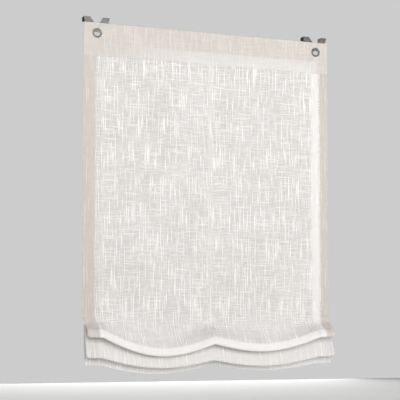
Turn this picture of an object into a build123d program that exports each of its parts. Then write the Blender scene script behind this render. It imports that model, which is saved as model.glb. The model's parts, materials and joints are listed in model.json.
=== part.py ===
"""Hook-on roman blind: an eyeleted header with a stiffening bar, a sheer panel gathered into two swagged
folds, three ring tapes with their rings, gather cords and sprung cord stops, and two sheet-steel hangers.

Millimetres. +X runs along the header, +Y points away from the room, towards the window, +Z is up.
The origin is the middle of the line that the hangers hook over.
"""

import os
from math import hypot, pi, sin, sqrt

from build123d import *

# --- overall sizes ---------------------------------------------------------------------------------
WIDTH = 800.0  # cloth, side edge to side edge
TOP_DROP = 17.0  # hanging line down to the cloth's top edge
HEADER_HEIGHT = 100.0
PANEL_BOTTOM = 870.0  # depth below the cloth's top edge where the first fold begins

# --- cloth -----------------------------------------------------------------------------------------
CLOTH = 1.0
HEM_WIDTH = 60.0
HEM_EXTRA = 0.5  # what a side hem adds behind the panel
HEADER_THICKNESS = 3.4
FOLD_CLOTH = 0.9
CLEAR = 0.3  # between soft pieces

# --- stiffening bar and its pocket -----------------------------------------------------------------
BAR_HEIGHT = 24.0
BAR_THICKNESS = 1.2
BAR_END_INSET = 10.0
POCKET_HEIGHT = 25.0
POCKET_THICKNESS = 1.8
POCKET_MARGIN = 11.0  # pocket's lower edge above the header's lower edge

# --- folds: depths of each edge below the cloth's top edge -----------------------------------------
FOLD_SIDE = {"fold_1": 940.0, "turn_1": 903.0, "fold_2": 1000.0, "turn_2": 914.0, "hem": 1020.0}
FOLD_CENTRE = {"fold_1": 960.0, "turn_1": 903.0, "fold_2": 1009.0, "turn_2": 914.0, "hem": 1021.0}
SWAG_LEFT = {"fold_1": 45.0, "turn_1": 45.0, "fold_2": 26.5, "turn_2": 40.0, "hem": 27.5}
SWAG_RIGHT = {"fold_1": 32.0, "turn_1": 34.0, "fold_2": 22.5, "turn_2": 31.0, "hem": 19.5}
FOLD_1_BULGE = 48.0  # how far each fold stands forward of the panel
FOLD_2_BULGE = 36.0
HEM_BULGE = 9.0
FOLD_STATIONS = 17  # sections that the folds are lofted through

# --- ring columns ----------------------------------------------------------------------------------
COLUMN_X = {"left": -350.0, "centre": 0.0, "right": 350.0}
TAPE_WIDTH = 14.0
TAPE_THICKNESS = 0.9
RING_RADIUS = 5.7  # to the middle of the ring's wire
RING_WIRE = 0.8
RING_ROWS = 4  # rows above the folds
RING_SPACING = 200.0
FIRST_RING_DEPTH = 217.0
ANCHOR_RING_RISE = 4.0  # anchor rings above the header's lower edge

# --- cords, knots and cord stops -------------------------------------------------------------------
CORD_RADIUS = 0.7
KNOT_RADIUS = 2.2
STOP_RADIUS = 6.0
STOP_BORE_RADIUS = 4.5
STOP_LENGTH = 15.0
STOP_END_WALL = 1.5
STOP_HOLE_RADIUS = 1.3
STOP_HOLE_X = 2.2  # cord hole from the middle of the barrel
PLUNGER_CLEAR = 0.3
PLUNGER_TRAVEL = 2.5
BUTTON_RADIUS = 5.5
BUTTON_HEIGHT = 2.0
BUTTON_STANDOFF = 0.5  # left under the button when it is pressed home
SPRING_LENGTH = 4.8
SPRING_WIRE = 0.25
SPRING_RADIUS = 3.2
SPRING_PITCH = 1.1

# --- eyelets ---------------------------------------------------------------------------------------
EYELET_INSET = 40.0  # from the cloth's side edge
EYELET_DEPTH = 32.0  # below the cloth's top edge
EYELET_HOLE = 9.5
EYELET_OUTER = 14.5
BARREL_WALL = 0.7
FLANGE = 1.0
WASHER_THICKNESS = 0.8
EYELET_SEAT_CLEAR = 0.3

# --- hangers ---------------------------------------------------------------------------------------
SHEET = 1.0
HOOK_WIDTH = 20.0
HOOK_SPACING = 61.0  # between the two hooks of a hanger, centre to centre
HOOK_REACH = 20.0  # front of the hooked edge to its back
HOOK_LEG = 12.0
NOTCH_DEPTH = 25.0
TONGUE_SIDE_CLEAR = 1.5  # tongue to the eyelet's hole, each side
TONGUE_LIP = 10.5
HANGER_CLEAR = 0.7  # plate behind the washer

# --- worked out ------------------------------------------------------------------------------------
HALF_WIDTH = WIDTH / 2
CLOTH_TOP = -TOP_DROP
HEADER_BOTTOM = CLOTH_TOP - HEADER_HEIGHT
EYELET_X = HALF_WIDTH - EYELET_INSET
EYELET_Z = CLOTH_TOP - EYELET_DEPTH
HEADER_FRONT = -HEADER_THICKNESS / 2
HEADER_BACK = HEADER_THICKNESS / 2
RING_REACH = RING_RADIUS + RING_WIRE
PLUNGER_RADIUS = STOP_BORE_RADIUS - PLUNGER_CLEAR
SIDES = {"left": -1, "right": 1}


def finish(built, name):
    """Labels a finished piece and writes it as one STEP file."""
    built.part.label = name
    export_step(built.part, f"parts/{name}.step")


def at_depth(depth):
    """Height of a point that lies this far below the cloth's top edge."""
    return CLOTH_TOP - depth


def panel_back(x):
    """The panel's back face at x: further back where the side hems double the cloth."""
    return CLOTH / 2 + (HEM_EXTRA if abs(x) > HALF_WIDTH - HEM_WIDTH else 0)


def ring_centre_y(x):
    """Where a ring's centre lies, just clear of the tape behind the panel."""
    return panel_back(x) + CLEAR + TAPE_THICKNESS + CLEAR + RING_REACH


def cord_y(x):
    """Where the gather cord runs, just clear of the back of its rings."""
    return ring_centre_y(x) + RING_RADIUS - RING_WIRE - CLEAR - CORD_RADIUS


def fold_depths(x):
    """Depth of each fold's edge at x: straight between the ring columns, plus the swag of that half."""
    along = min(abs(x) / COLUMN_X["right"], 1)
    swag = SWAG_LEFT if x < 0 else SWAG_RIGHT
    return {
        name: centre + (FOLD_SIDE[name] - centre) * along + swag[name] * sin(pi * along)
        for name, centre in FOLD_CENTRE.items()
    }


def fold_centreline(x):
    """Middle of the folded cloth at x, as (y, z) points from the panel's lower end to the bottom hem."""
    d = fold_depths(x)
    front = [(0.05, 0.22), (0.22, 0.40), (0.52, 0.55), (0.80, 0.69), (0.96, 0.83), (1, 0.93), (0.96, 0.99)]
    back = [(0.84, 0.98), (0.58, 0.68), (0.30, 0.36), (0.13, 0.14)]
    second = [(0.17, 0.16), (0.34, 0.36), (0.64, 0.56), (0.90, 0.78), (1, 0.93), (0.95, 0.99)]
    second_back = [(0.78, 0.98), (0.60, 0.74), (0.34, 0.48), (0.13, 0.22)]
    start = PANEL_BOTTOM + CLEAR
    drop_1 = d["fold_1"] - start
    rise_1 = d["fold_1"] - d["turn_1"]
    drop_2 = d["fold_2"] - d["turn_1"]
    rise_2 = d["fold_2"] - d["turn_2"]
    drop_3 = d["hem"] - d["turn_2"]
    points = [(0, start)]
    points += [(-FOLD_1_BULGE * y, start + drop_1 * down) for y, down in front]
    points += [(-FOLD_1_BULGE * 0.90, d["fold_1"])]
    points += [(-FOLD_1_BULGE * y, d["turn_1"] + rise_1 * down) for y, down in back]
    points += turn(d["turn_1"])
    points += [(0.2, d["turn_1"] + 4), (-2.6, d["turn_1"] + 8)]
    points += [(-FOLD_2_BULGE * y, d["turn_1"] + drop_2 * down) for y, down in second]
    points += [(-FOLD_2_BULGE * 0.87, d["fold_2"])]
    points += [(-FOLD_2_BULGE * y, d["turn_2"] + rise_2 * down) for y, down in second_back]
    points += turn(d["turn_2"])
    points += [(0.7, d["turn_2"] + 6), (-HEM_BULGE * 0.1, d["turn_2"] + drop_3 * 0.3)]
    points += [(-HEM_BULGE * 0.6, d["turn_2"] + drop_3 * 0.65), (-HEM_BULGE, d["hem"])]
    return [(y, at_depth(depth)) for y, depth in points]


def turn(depth):
    """The small turn where the cloth is caught at a ring."""
    return [(-0.2, depth + 1.2), (0.5, depth), (1.2, depth + 1.2)]


def ribbon(line, thickness):
    """Closed outline of a ribbon of even thickness about a line of (y, z) points."""
    one_side = []
    other_side = []
    for i, (y, z) in enumerate(line):
        before = line[max(i - 1, 0)]
        after = line[min(i + 1, len(line) - 1)]
        into = unit(y - before[0], z - before[1]) if i else unit(after[0] - y, after[1] - z)
        out = unit(after[0] - y, after[1] - z) if i < len(line) - 1 else into
        across = unit(-into[1] - out[1], into[0] + out[0])
        mitre = max(-across[0] * into[1] + across[1] * into[0], 0.75)
        half = thickness / 2 / mitre
        one_side.append((y + across[0] * half, z + across[1] * half))
        other_side.append((y - across[0] * half, z - across[1] * half))
    return one_side + other_side[::-1]


def unit(a, b):
    """The direction of (a, b), with length 1."""
    long = hypot(a, b)
    return a / long, b / long


os.makedirs("parts", exist_ok=True)

# --- header: a doubled band with a pocket for the bar and two eyelet holes --------------------------
header_box = (WIDTH, HEADER_THICKNESS, HEADER_HEIGHT)
pocket_z = HEADER_BOTTOM + POCKET_MARGIN + POCKET_HEIGHT / 2
with BuildPart() as cloth_header:
    with Locations((0, 0, (CLOTH_TOP + HEADER_BOTTOM) / 2)):
        Box(*header_box)
    fillet(cloth_header.edges().filter_by(Axis.X).group_by(Axis.Z)[-1], HEADER_THICKNESS * 0.4)
    with Locations((0, 0, pocket_z)):
        Box(WIDTH, POCKET_THICKNESS, POCKET_HEIGHT, mode=Mode.SUBTRACT)
    with BuildSketch(Plane.XZ.offset(-HEADER_THICKNESS)):
        with Locations((-EYELET_X, EYELET_Z), (EYELET_X, EYELET_Z)):
            Circle(EYELET_HOLE + BARREL_WALL)
    extrude(amount=2 * HEADER_THICKNESS, mode=Mode.SUBTRACT)
finish(cloth_header, "cloth_header")

with BuildPart() as header_bar:
    with Locations((0, 0, pocket_z - (POCKET_HEIGHT - BAR_HEIGHT) / 2 + CLEAR / 2)):
        Box(WIDTH - 2 * BAR_END_INSET, BAR_THICKNESS, BAR_HEIGHT)
    fillet(header_bar.edges().filter_by(Axis.Y), BAR_HEIGHT / 6)
finish(header_bar, "header_bar")

# --- panel: one sheet with a turned hem down each side ----------------------------------------------
panel_top = HEADER_BOTTOM - CLEAR
panel_height = panel_top - at_depth(PANEL_BOTTOM)
with BuildPart() as cloth_panel:
    with BuildSketch(Plane.XY.offset(at_depth(PANEL_BOTTOM))):
        Rectangle(WIDTH, CLOTH)
        for side in SIDES.values():
            with Locations((side * (HALF_WIDTH - HEM_WIDTH / 2), (CLOTH + HEM_EXTRA) / 2)):
                Rectangle(HEM_WIDTH, HEM_EXTRA)
    extrude(amount=panel_height)
finish(cloth_panel, "cloth_panel")

# --- folds: the gathered lower end, lofted through sections along the width -------------------------
with BuildPart() as cloth_folds:
    for i in range(FOLD_STATIONS):
        x = -HALF_WIDTH + WIDTH * i / (FOLD_STATIONS - 1)
        with BuildSketch(Plane.YZ.offset(x)):
            with BuildLine():
                Polyline(*ribbon(fold_centreline(x), FOLD_CLOTH), close=True)
            make_face()
    loft(ruled=True)
finish(cloth_folds, "cloth_folds")

# --- eyelets: a flanged barrel in front and a washer behind -----------------------------------------
for name, side in SIDES.items():
    centre = (side * EYELET_X, 0, EYELET_Z)
    radial = Plane(origin=centre, x_dir=(1, 0, 0), z_dir=(0, 0, 1))
    with BuildPart() as eyelet:
        with BuildSketch(radial):
            with BuildLine():
                Polyline(
                    (EYELET_HOLE, HEADER_FRONT - FLANGE),
                    (EYELET_OUTER, HEADER_FRONT - FLANGE),
                    (EYELET_OUTER, HEADER_FRONT),
                    (EYELET_HOLE + BARREL_WALL, HEADER_FRONT),
                    (EYELET_HOLE + BARREL_WALL, HEADER_BACK + WASHER_THICKNESS),
                    (EYELET_HOLE, HEADER_BACK + WASHER_THICKNESS),
                    close=True,
                )
            make_face()
        revolve(axis=Axis(centre, (0, 1, 0)))
        fillet(eyelet.edges().filter_by(GeomType.CIRCLE).group_by(Axis.Y)[0], FLANGE * 0.45)
    finish(eyelet, f"eyelet_{name}_front")

    with BuildPart() as washer:
        with BuildSketch(radial):
            with BuildLine():
                Polyline(
                    (EYELET_HOLE + BARREL_WALL, HEADER_BACK),
                    (EYELET_OUTER, HEADER_BACK),
                    (EYELET_OUTER, HEADER_BACK + WASHER_THICKNESS),
                    (EYELET_HOLE + BARREL_WALL, HEADER_BACK + WASHER_THICKNESS),
                    close=True,
                )
            make_face()
        revolve(axis=Axis(centre, (0, 1, 0)))
        chamfer(washer.edges().group_by(Axis.Y)[-1].sort_by(SortBy.LENGTH)[-1], WASHER_THICKNESS / 3)
    finish(washer, f"eyelet_{name}_washer")

# --- hangers: a notched plate, two hooks over the edge and a tongue through the eyelet --------------
plate_front = HEADER_BACK + WASHER_THICKNESS + HANGER_CLEAR
plate_back = plate_front + SHEET
tongue_width = 2 * (EYELET_HOLE - TONGUE_SIDE_CLEAR)
rest_height = sqrt(EYELET_HOLE**2 - (tongue_width / 2) ** 2)
tongue_top = EYELET_Z + rest_height - EYELET_SEAT_CLEAR
lip_back = HEADER_FRONT - FLANGE - EYELET_SEAT_CLEAR
lip_front = lip_back - SHEET
hook_outer = (HOOK_SPACING + HOOK_WIDTH) / 2
hook_inner = (HOOK_SPACING - HOOK_WIDTH) / 2
for name, side in SIDES.items():
    x = side * EYELET_X
    with BuildPart() as hanger:
        with BuildSketch(Plane(origin=(x, plate_back, 0), x_dir=(1, 0, 0), z_dir=(0, -1, 0))):
            with BuildLine():
                Polyline(
                    (-hook_outer, SHEET),
                    (-hook_inner, SHEET),
                    (-hook_inner, 0),
                    (0, -NOTCH_DEPTH),
                    (hook_inner, 0),
                    (hook_inner, SHEET),
                    (hook_outer, SHEET),
                    (hook_outer, 0),
                    (hook_outer - HOOK_WIDTH * 0.3, -NOTCH_DEPTH * 0.8),
                    (tongue_width / 2, tongue_top - SHEET),
                    (-tongue_width / 2, tongue_top - SHEET),
                    (-hook_outer + HOOK_WIDTH * 0.3, -NOTCH_DEPTH * 0.8),
                    (-hook_outer, 0),
                    close=True,
                )
            make_face()
        extrude(amount=SHEET)
        for hook in (-1, 1):
            hook_x = x + hook * HOOK_SPACING / 2
            with Locations((hook_x, plate_front + (HOOK_REACH + 2 * SHEET) / 2, SHEET / 2)):
                Box(HOOK_WIDTH, HOOK_REACH + 2 * SHEET, SHEET)
            with Locations((hook_x, plate_back + HOOK_REACH + SHEET / 2, (SHEET - HOOK_LEG) / 2)):
                Box(HOOK_WIDTH, SHEET, HOOK_LEG + SHEET)
        with Locations((x, (plate_back + lip_front) / 2, tongue_top - SHEET / 2)):
            Box(tongue_width, plate_back - lip_front, SHEET)
        with Locations((x, (lip_back + lip_front) / 2, tongue_top - SHEET + TONGUE_LIP / 2)):
            Box(tongue_width, SHEET, TONGUE_LIP)
        lip_corners = hanger.edges().filter_by(Axis.Y).group_by(Axis.Y)[0].group_by(Axis.Z)[-1]
        fillet(lip_corners, tongue_width * 0.3)
        fillet(hanger.edges().filter_by(Axis.X).group_by(Axis.Z)[-1], SHEET * 0.8)
    finish(hanger, f"hanger_{name}")

# --- ring tapes, down the back of the panel ---------------------------------------------------------
for name, x in COLUMN_X.items():
    with BuildPart() as tape:
        with Locations((x, panel_back(x) + CLEAR + TAPE_THICKNESS / 2, panel_top - panel_height / 2)):
            Box(TAPE_WIDTH, TAPE_THICKNESS, panel_height)
    finish(tape, f"ring_tape_{name}")


def add_rings(depth):
    """Puts one ring of each column into the part being built, at this depth below the cloth's top."""
    with Locations(*[(x, ring_centre_y(x), at_depth(depth)) for x in COLUMN_X.values()]):
        Torus(RING_RADIUS, RING_WIRE)


ring_depths = {"anchor_rings": HEADER_HEIGHT - ANCHOR_RING_RISE}
for row in range(RING_ROWS):
    ring_depths[f"ring_row_{row + 1}"] = FIRST_RING_DEPTH + row * RING_SPACING
ring_depths["ring_row_5"] = FOLD_CENTRE["turn_1"]
ring_depths["ring_row_6"] = FOLD_CENTRE["turn_2"]
for name, depth in ring_depths.items():
    with BuildPart() as rings:
        add_rings(depth)
    finish(rings, name)

# --- cords, each tied to its anchor ring and held by a sprung stop under the lowest ring ------------
loop_radius = 2 * RING_WIRE + CLEAR
anchor_z = at_depth(HEADER_HEIGHT - ANCHOR_RING_RISE)
knot_z = anchor_z - loop_radius - CORD_RADIUS - KNOT_RADIUS / 2
stop_z = at_depth(FOLD_CENTRE["turn_2"]) - RING_WIRE - CLEAR - STOP_RADIUS
end_knot_z = stop_z - STOP_RADIUS - CLEAR - KNOT_RADIUS
cord_top = knot_z - KNOT_RADIUS - CLEAR / 3
cord_bottom = end_knot_z + KNOT_RADIUS + CLEAR / 3
with BuildPart() as anchor_knots:
    for x in COLUMN_X.values():
        wire_y = ring_centre_y(x) + RING_RADIUS
        with Locations(Location((x, wire_y, anchor_z), (0, 90, 0))):
            Torus(loop_radius, CORD_RADIUS)
        with Locations((x, wire_y - KNOT_RADIUS / 3, knot_z)):
            Sphere(KNOT_RADIUS)
finish(anchor_knots, "cord_anchor_knots")

with BuildPart() as end_knots:
    with Locations(*[(x, cord_y(x), end_knot_z) for x in COLUMN_X.values()]):
        Sphere(KNOT_RADIUS)
finish(end_knots, "cord_end_knots")

for name, x in COLUMN_X.items():
    with BuildPart() as cord:
        with Locations((x, cord_y(x), (cord_top + cord_bottom) / 2)):
            Cylinder(CORD_RADIUS, cord_top - cord_bottom)
    finish(cord, f"gather_cord_{name}")

    # The barrel lies along X with its mouth towards +X, and the cord passes down through it.
    barrel_x = x - STOP_HOLE_X
    mouth = barrel_x + STOP_LENGTH / 2
    bore_end = mouth - STOP_LENGTH + STOP_END_WALL
    across = Plane(origin=(0, cord_y(x), stop_z), x_dir=(0, 1, 0), z_dir=(1, 0, 0))
    with BuildPart() as stop_body:
        with BuildSketch(across.offset(mouth - STOP_LENGTH)):
            Circle(STOP_RADIUS)
        extrude(amount=STOP_LENGTH)
        with BuildSketch(across.offset(bore_end)):
            Circle(STOP_BORE_RADIUS)
        extrude(amount=STOP_LENGTH, mode=Mode.SUBTRACT)
        with Locations((x, cord_y(x), stop_z)):
            Cylinder(STOP_HOLE_RADIUS, 2 * STOP_RADIUS, mode=Mode.SUBTRACT)
    finish(stop_body, f"stop_body_{name}")

    plunger_end = bore_end + SPRING_LENGTH
    button_base = mouth + PLUNGER_TRAVEL + BUTTON_STANDOFF
    with BuildPart() as plunger:
        with BuildSketch(across.offset(plunger_end)):
            Circle(PLUNGER_RADIUS)
        extrude(amount=button_base - plunger_end)
        with BuildSketch(across.offset(button_base)):
            Circle(BUTTON_RADIUS)
        extrude(amount=BUTTON_HEIGHT)
        fillet(plunger.edges().filter_by(GeomType.CIRCLE).group_by(Axis.X)[-1], BUTTON_HEIGHT / 3)
        with BuildSketch(Plane.XY.offset(stop_z - STOP_RADIUS)):
            with Locations((x + PLUNGER_TRAVEL / 2, cord_y(x))):
                SlotCenterToCenter(PLUNGER_TRAVEL, 2 * (CORD_RADIUS + CLEAR / 2))
        extrude(amount=2 * STOP_RADIUS, mode=Mode.SUBTRACT)
    finish(plunger, f"stop_plunger_{name}")

    coil_run = SPRING_LENGTH - 2 * SPRING_WIRE - CLEAR
    coil_start = across.offset(bore_end + SPRING_WIRE + CLEAR / 2).origin
    with BuildPart() as spring:
        with BuildLine() as coil:
            Helix(SPRING_PITCH, coil_run, SPRING_RADIUS, center=coil_start, direction=(1, 0, 0))
        with BuildSketch(Plane(origin=coil.line @ 0, z_dir=coil.line % 0)):
            Circle(SPRING_WIRE)
        sweep(is_frenet=True)
    finish(spring, f"stop_spring_{name}")
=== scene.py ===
"""Looks of a hook-on roman blind: slub linen, an eyeleted header, two swagged folds and its hardware.

Everything is in metres, in the frame of the construction: +X along the header, +Y towards the window and
+Z up, with the origin in the middle of the line that the hangers hook over.
"""

from __future__ import annotations

import json
import logging
import math
from dataclasses import dataclass, field
from enum import Enum, IntEnum
from typing import Callable, Sequence

import bmesh
import bpy
import numpy as np
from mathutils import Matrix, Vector

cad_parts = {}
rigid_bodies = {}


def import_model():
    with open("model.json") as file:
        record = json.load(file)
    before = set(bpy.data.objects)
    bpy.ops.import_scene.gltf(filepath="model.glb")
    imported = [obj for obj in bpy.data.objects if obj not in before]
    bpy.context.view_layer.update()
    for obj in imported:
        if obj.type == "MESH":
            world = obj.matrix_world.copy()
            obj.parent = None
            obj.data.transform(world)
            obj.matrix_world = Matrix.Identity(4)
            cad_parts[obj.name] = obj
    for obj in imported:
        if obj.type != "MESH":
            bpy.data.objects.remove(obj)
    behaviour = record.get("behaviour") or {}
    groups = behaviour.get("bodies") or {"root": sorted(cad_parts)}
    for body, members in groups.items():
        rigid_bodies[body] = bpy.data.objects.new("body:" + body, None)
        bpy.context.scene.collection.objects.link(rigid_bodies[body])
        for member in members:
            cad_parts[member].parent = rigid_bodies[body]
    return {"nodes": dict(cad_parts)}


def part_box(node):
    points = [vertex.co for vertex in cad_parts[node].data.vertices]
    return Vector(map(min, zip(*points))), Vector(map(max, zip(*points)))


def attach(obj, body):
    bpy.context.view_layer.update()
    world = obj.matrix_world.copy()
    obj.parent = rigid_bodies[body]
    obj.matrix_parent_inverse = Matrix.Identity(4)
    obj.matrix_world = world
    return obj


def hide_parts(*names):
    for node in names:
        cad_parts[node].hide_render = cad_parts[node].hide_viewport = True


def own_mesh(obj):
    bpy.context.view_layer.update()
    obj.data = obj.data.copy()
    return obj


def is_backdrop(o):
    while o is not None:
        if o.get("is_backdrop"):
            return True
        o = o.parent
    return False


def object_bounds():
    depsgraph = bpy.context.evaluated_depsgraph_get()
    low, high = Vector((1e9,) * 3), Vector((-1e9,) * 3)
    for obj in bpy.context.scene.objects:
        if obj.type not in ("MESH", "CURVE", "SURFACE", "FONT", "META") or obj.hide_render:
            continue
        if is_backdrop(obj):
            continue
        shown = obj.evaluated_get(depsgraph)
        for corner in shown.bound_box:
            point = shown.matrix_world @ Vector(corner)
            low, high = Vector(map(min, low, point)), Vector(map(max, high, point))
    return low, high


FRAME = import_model()
LOG = logging.getLogger("roman_blind")
MM = 0.001
COLUMNS = ("left", "centre", "right")

Colour = tuple[float, float, float]
Socket = bpy.types.NodeSocket


class Side(Enum):
    """The two ends of the header."""

    LEFT = -1
    RIGHT = 1

    @property
    def word(self) -> str:
        """The side's name as the nodes spell it."""
        return self.name.lower()


class Pattern(Enum):
    """What a cloth's weave follows."""

    SPACE = "Object"
    CLOTH = "UV"


class FoldMark(IntEnum):
    """Points of a fold's middle line, counted from the panel's lower end."""

    FIRST_EDGE = 8
    SECOND_START = 16
    SECOND_EDGE = 24
    LAST_START = 32


# --- shader groups --------------------------------------------------------------------------------------


@dataclass
class GroupMaker:
    """Builds one shader node group with named sockets."""

    name: str
    tree: bpy.types.ShaderNodeTree = field(init=False)
    inside: bpy.types.Node = field(init=False)
    outside: bpy.types.Node = field(init=False)

    def __post_init__(self) -> None:
        """Makes the empty group."""
        self.tree = bpy.data.node_groups.new(self.name, "ShaderNodeTree")
        self.inside = self.tree.nodes.new("NodeGroupInput")
        self.outside = self.tree.nodes.new("NodeGroupOutput")

    def takes(self, name: str, kind: str = "NodeSocketFloat", value: float | None = None) -> None:
        """Adds an input.

        Args:
            name: the socket's name.
            kind: its socket type.
            value: its value where nothing is linked.
        """
        socket = self.tree.interface.new_socket(name=name, in_out="INPUT", socket_type=kind)
        if value is not None:
            socket.default_value = value

    def gives(self, name: str, source: Socket, kind: str = "NodeSocketFloat") -> None:
        """Adds an output and links it.

        Args:
            name: the socket's name.
            source: what it puts out.
            kind: its socket type.
        """
        self.tree.interface.new_socket(name=name, in_out="OUTPUT", socket_type=kind)
        self.tree.links.new(source, self.outside.inputs[name])


@dataclass
class Wiring:
    """Short ways to place and link shader nodes in one tree."""

    tree: bpy.types.NodeTree

    def node(self, kind: str, **settings: object) -> bpy.types.Node:
        """Places a node.

        Args:
            kind: the node's type.
            settings: its properties.

        Returns:
            The node.
        """
        made = self.tree.nodes.new(kind)
        for name, value in settings.items():
            setattr(made, name, value)
        return made

    def put(self, target: Socket, value: Socket | float | Sequence[float]) -> None:
        """Links a socket, or sets its value.

        Args:
            target: the input socket.
            value: what is linked to it, or its constant.
        """
        if isinstance(value, bpy.types.NodeSocket):
            self.tree.links.new(value, target)
        else:
            target.default_value = value

    def maths(self, operation: str, a: Socket | float, b: Socket | float = 0.0) -> Socket:
        """A Math node's result.

        Args:
            operation: the node's operation.
            a: its first value.
            b: its second value.

        Returns:
            The result.
        """
        made = self.node("ShaderNodeMath", operation=operation)
        self.put(made.inputs[0], a)
        self.put(made.inputs[1], b)
        return made.outputs[0]

    def stretched(self, value: Socket, low: float, high: float, to: tuple[float, float] = (0, 1)) -> Socket:
        """A value mapped from a range to another, and held inside it.

        Args:
            value: what is mapped.
            low: the value that becomes the first of to.
            high: the value that becomes the second of to.
            to: the new range.

        Returns:
            The mapped value.
        """
        made = self.node("ShaderNodeMapRange", interpolation_type="SMOOTHSTEP")
        self.put(made.inputs["Value"], value)
        self.put(made.inputs["From Min"], low)
        self.put(made.inputs["From Max"], high)
        self.put(made.inputs["To Min"], to[0])
        self.put(made.inputs["To Max"], to[1])
        return made.outputs["Result"]

    def noise(self, across: Socket, along: Socket, scale: tuple[float, float], shift: float) -> Socket:
        """Noise drawn out along one direction of a flat pattern.

        Args:
            across: the pattern's first coordinate, in metres.
            along: its second coordinate.
            scale: how many features each has in a metre.
            shift: moves the pattern, so that two of them differ.

        Returns:
            The noise, from 0 to 1.
        """
        place = self.node("ShaderNodeCombineXYZ")
        self.put(place.inputs[0], self.maths("ADD", self.maths("MULTIPLY", across, scale[0]), shift))
        self.put(place.inputs[1], self.maths("MULTIPLY", along, scale[1]))
        made = self.node("ShaderNodeTexNoise", noise_dimensions="2D")
        self.put(made.inputs["Vector"], place.outputs[0])
        self.put(made.inputs["Scale"], 1.0)
        self.put(made.inputs["Detail"], 2.0)
        return made.outputs["Fac"]

    def mixed(self, share: Socket | float, a: Socket | Colour, b: Socket | Colour) -> Socket:
        """Two colours mixed.

        Args:
            share: how much of b shows.
            a: the first colour.
            b: the second colour.

        Returns:
            The mix.
        """
        made = self.node("ShaderNodeMix", data_type="RGBA")
        self.put(made.inputs[0], share)
        for socket, colour in ((made.inputs[6], a), (made.inputs[7], b)):
            self.put(socket, (*colour, 1.0) if isinstance(colour, tuple) else colour)
        return made.outputs[2]


def make_slub_weave() -> bpy.types.NodeTree:
    """The weave of slub yarns: long thick-and-thin streaks both ways, and the fine threads between them.

    Returns:
        The node group.
    """
    group = GroupMaker("slub_weave")
    group.takes("Across")
    group.takes("Along")
    group.takes("Thread Pitch", value=1.1 * MM)
    w = Wiring(group.tree)
    u = group.inside.outputs["Across"]
    v = group.inside.outputs["Along"]
    warp = w.stretched(w.noise(u, v, (260, 11), 3.1), 0.53, 0.69)
    thin_warp = w.stretched(w.noise(u, v, (560, 24), 11.7), 0.54, 0.71)
    weft = w.stretched(w.noise(v, u, (300, 14), 23.3), 0.55, 0.70)
    thin_weft = w.stretched(w.noise(v, u, (640, 30), 41.9), 0.54, 0.72)
    thick = w.maths("MAXIMUM", warp, w.maths("MULTIPLY", weft, 0.7))
    thin = w.maths("MAXIMUM", thin_warp, thin_weft)
    slub = w.maths("MAXIMUM", thick, w.maths("MULTIPLY", thin, 0.65))
    pitch = w.maths("DIVIDE", math.pi, group.inside.outputs["Thread Pitch"])
    threads = [w.maths("ABSOLUTE", w.maths("SINE", w.maths("MULTIPLY", line, pitch))) for line in (u, v)]
    fine = w.maths("MAXIMUM", threads[0], threads[1])
    cloud = w.stretched(w.noise(u, v, (9, 7), 61.0), 0.3, 0.7)
    group.gives("Slub", slub)
    group.gives("Cloud", cloud)
    group.gives("Height", w.maths("ADD", w.maths("MULTIPLY", slub, 0.7), w.maths("MULTIPLY", fine, 0.3)))
    return group.tree


def make_metal_wear() -> bpy.types.NodeTree:
    """Fine drawn scratches and a faint cloud for bright metal.

    Returns:
        The node group.
    """
    group = GroupMaker("metal_wear")
    group.takes("Vector", "NodeSocketVector")
    w = Wiring(group.tree)
    cloud = w.node("ShaderNodeTexNoise")
    w.put(cloud.inputs["Vector"], group.inside.outputs["Vector"])
    w.put(cloud.inputs["Scale"], 90.0)
    w.put(cloud.inputs["Detail"], 4.0)
    scratch = w.node("ShaderNodeTexNoise")
    w.put(scratch.inputs["Vector"], group.inside.outputs["Vector"])
    w.put(scratch.inputs["Scale"], 2600.0)
    w.put(scratch.inputs["Detail"], 2.0)
    group.gives("Cloud", w.stretched(cloud.outputs["Fac"], 0.3, 0.7))
    group.gives("Scratch", scratch.outputs["Fac"])
    return group.tree


# --- finishes -------------------------------------------------------------------------------------------


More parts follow.
